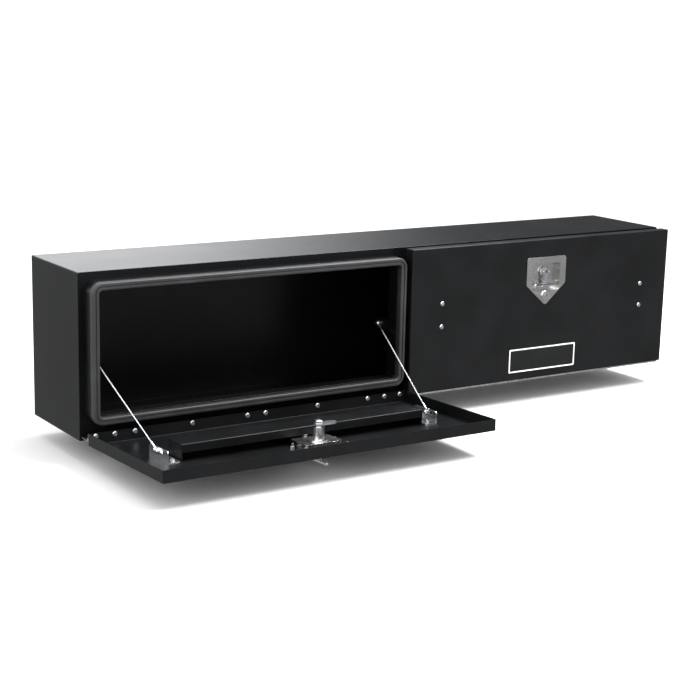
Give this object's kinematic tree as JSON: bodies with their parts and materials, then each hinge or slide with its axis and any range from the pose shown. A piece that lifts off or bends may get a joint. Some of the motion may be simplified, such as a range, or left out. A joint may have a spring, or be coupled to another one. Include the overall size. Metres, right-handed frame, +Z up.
{
  "type": "truck tool box",
  "caption": "Long steel truck tool box with two drop-down pan doors on hinges, stay ropes, bulb seals and folding T-handle latches with locks.",
  "frame": {"origin": "middle of the base of the body shell, where the box rests on its truck or trailer", "axes": "+X along the length to the right as seen from the front, +Y to the back, +Z up; the doors face -Y"},
  "size_m": [1.8288, 0.7102, 0.4356],
  "materials": {
    "black_inner_coat": "satin black powder coat inside the doors",
    "black_powder_coat": "satin black powder coat with a fine grain",
    "bright_steel": "polished plated steel",
    "plate_metal": "black anodised face with a pale border",
    "rope_steel": "twisted galvanised wire rope",
    "rubber": "matt extruded rubber",
    "stainless": "brushed stainless steel",
    "zinc": "bright zinc plate"
  },
  "bodies": {
    "box": {"body_wrap": "black_powder_coat", "front_frame": "black_powder_coat", "hinge_pins": "zinc", "hinge_rail": "black_powder_coat", "hinge_rail_rivets": "zinc", "left_collar": "black_powder_coat", "left_door_left_rope": "rope_steel", "left_door_right_rope": "rope_steel", "left_door_seal": "rubber", "left_end_panel": "black_powder_coat", "left_hinge_body_leaf": "zinc", "right_collar": "black_powder_coat", "right_door_left_rope": "rope_steel", "right_door_right_rope": "rope_steel", "right_door_seal": "rubber", "right_end_panel": "black_powder_coat", "right_hinge_body_leaf": "zinc", "stay_anchor_bolts": "zinc", "stay_anchor_eyes": "zinc", "stay_anchor_nuts": "zinc", "stay_anchor_tabs": "zinc"},
    "left_spindle_group": {"left_spindle": "zinc", "left_cam_arm": "zinc", "left_cam_nut": "zinc", "left_handle_pin": "bright_steel"},
    "left_handle_group": {"left_handle": "bright_steel"},
    "left_lock_group": {"left_lock_plug": "bright_steel"},
    "left_door": {"left_bracket_bolts": "zinc", "left_bracket_nuts": "zinc", "left_door_pan": "black_inner_coat", "left_door_stiffener": "black_inner_coat", "left_hinge_door_leaf": "zinc", "left_hinge_rivets": "zinc", "left_latch_dish": "stainless", "left_latch_housing": "zinc", "left_latch_nuts": "zinc", "left_lock_barrel": "bright_steel", "left_stay_brackets": "zinc", "left_stay_eyes": "zinc"},
    "right_spindle_group": {"right_spindle": "zinc", "right_cam_arm": "zinc", "right_cam_nut": "zinc", "right_handle_pin": "bright_steel"},
    "right_handle_group": {"right_handle": "bright_steel"},
    "right_lock_group": {"right_lock_plug": "bright_steel"},
    "right_door": {"right_bracket_bolts": "zinc", "right_bracket_nuts": "zinc", "right_door_pan": "black_inner_coat", "right_door_stiffener": "black_inner_coat", "right_hinge_door_leaf": "zinc", "right_hinge_rivets": "zinc", "right_latch_dish": "stainless", "right_latch_housing": "zinc", "right_latch_nuts": "zinc", "right_lock_barrel": "bright_steel", "right_name_plate": "plate_metal", "right_stay_brackets": "zinc", "right_stay_eyes": "zinc"}
  },
  "joints": [
    {"name": "left_door_hinge", "type": "hinge", "parent": "box", "child": "left_door", "pos_m": [-0.4562, -0.177, 0.013], "axis": [1, 0, 0], "range_deg": [-88, 0], "deforming": ["left_door_left_rope", "left_door_right_rope"]},
    {"name": "right_door_hinge", "type": "hinge", "parent": "box", "child": "right_door", "pos_m": [0.4562, -0.177, 0.013], "axis": [1, 0, 0], "range_deg": [0, 88], "deforming": ["right_door_left_rope", "right_door_right_rope"]},
    {"name": "left_spindle_turn", "type": "hinge", "parent": "left_door", "child": "left_spindle_group", "pos_m": [-0.4562, -0.47553, 0.06045], "axis": [0, 0.0349, 0.9994], "range_deg": [-90, 0]},
    {"name": "left_handle_fold", "type": "hinge", "parent": "left_spindle_group", "child": "left_handle_group", "pos_m": [-0.4562, -0.47724, 0.01148], "axis": [0, -0.9994, 0.0349], "range_deg": [-90, 0]},
    {"name": "right_spindle_turn", "type": "hinge", "parent": "right_door", "child": "right_spindle_group", "pos_m": [0.4562, -0.14, 0.313], "axis": [0, 1, 0], "range_deg": [0, 90]},
    {"name": "right_handle_fold", "type": "hinge", "parent": "right_spindle_group", "child": "right_handle_group", "pos_m": [0.4562, -0.189, 0.313], "axis": [-1, 0, 0], "range_deg": [0, 90]},
    {"name": "left_lock_turn", "type": "hinge", "parent": "left_door", "child": "left_lock_group", "pos_m": [-0.4562, -0.41331, 0.00824], "axis": [0, 0.0349, 0.9994], "range_deg": [0, 90]},
    {"name": "right_lock_turn", "type": "hinge", "parent": "right_door", "child": "right_lock_group", "pos_m": [0.4562, -0.19, 0.249], "axis": [0, 1, 0], "range_deg": [0, 90]}
  ],
  "couplings": [
    {"joint": "left_spindle_turn", "follows": "left_handle_fold", "ratio": 1},
    {"joint": "right_spindle_turn", "follows": "right_handle_fold", "ratio": 1}
  ]
}
